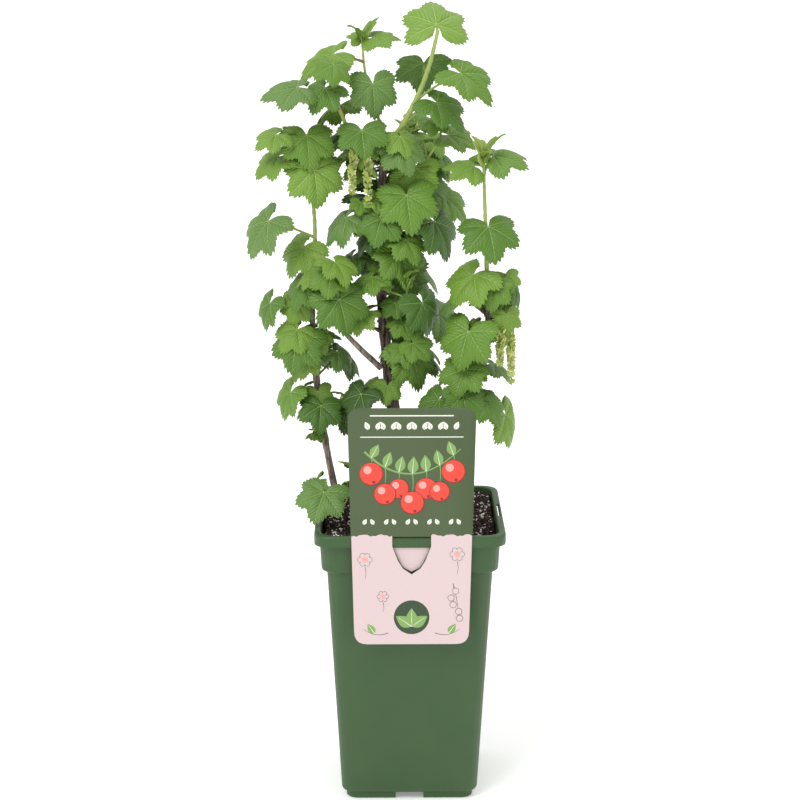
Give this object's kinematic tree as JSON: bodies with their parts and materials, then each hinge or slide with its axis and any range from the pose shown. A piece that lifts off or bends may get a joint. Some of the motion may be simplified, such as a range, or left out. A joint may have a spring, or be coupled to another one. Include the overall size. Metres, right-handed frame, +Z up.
{
  "type": "potted currant bush",
  "caption": "Young red currant bush of three leafy canes with a few green flower strings, in a deep square nursery pot with a card label hooked on its rim.",
  "frame": {"origin": "middle of the pot's underside, on the plane it stands on", "axes": "+Z up along the pot's upright axis; the card label hangs on the -Y side and its face looks along -Y; +X to the right as one faces the label"},
  "size_m": [0.2052, 0.1628, 0.5896],
  "materials": {
    "pot": "moulded, semi-matt",
    "soil": "loose potting soil",
    "label": "printed card, semi-matt",
    "bark": "rough bark",
    "foliage": "matt leaf",
    "young_foliage": "matt young leaf"
  },
  "bodies": {
    "root": {"pot": "pot", "soil": "soil", "label": "label", "main_stem": "bark", "left_cane": "bark", "right_cane": "bark", "left_branch": "bark", "back_branch": "bark", "top_right_shoot": "young_foliage", "top_middle_shoot": "young_foliage", "top_left_shoot": "young_foliage", "top_side_shoot": "young_foliage", "left_tip_shoot": "young_foliage", "right_tip_shoot": "young_foliage", "back_tip_shoot": "young_foliage", "branch_tip_shoot": "young_foliage", "water_shoot": "young_foliage", "basal_shoot": "young_foliage", "left_bud": "young_foliage", "left_low_inner_spur": "foliage", "left_low_outer_spur": "foliage", "left_middle_outer_spur": "foliage", "left_middle_inner_spur": "foliage", "left_high_outer_spur": "foliage", "left_high_inner_spur": "foliage", "left_back_spur": "foliage", "main_label_spur": "foliage", "main_low_right_spur": "foliage", "main_low_back_spur": "foliage", "main_left_spur": "foliage", "main_middle_front_spur": "foliage", "main_middle_back_spur": "foliage", "main_right_spur": "foliage", "main_upper_front_spur": "foliage", "main_upper_left_spur": "foliage", "main_upper_right_spur": "foliage", "main_upper_back_spur": "foliage", "main_flower_spur": "foliage", "main_high_left_spur": "foliage", "main_high_front_spur": "foliage", "right_low_front_spur": "foliage", "right_low_outer_spur": "foliage", "right_low_back_spur": "foliage", "right_flower_spur": "foliage", "right_middle_front_spur": "foliage", "right_middle_outer_spur": "foliage", "right_high_inner_spur": "foliage", "right_high_outer_spur": "foliage", "right_high_back_spur": "foliage", "back_low_spur": "foliage", "back_high_spur": "foliage"}
  },
  "joints": []
}
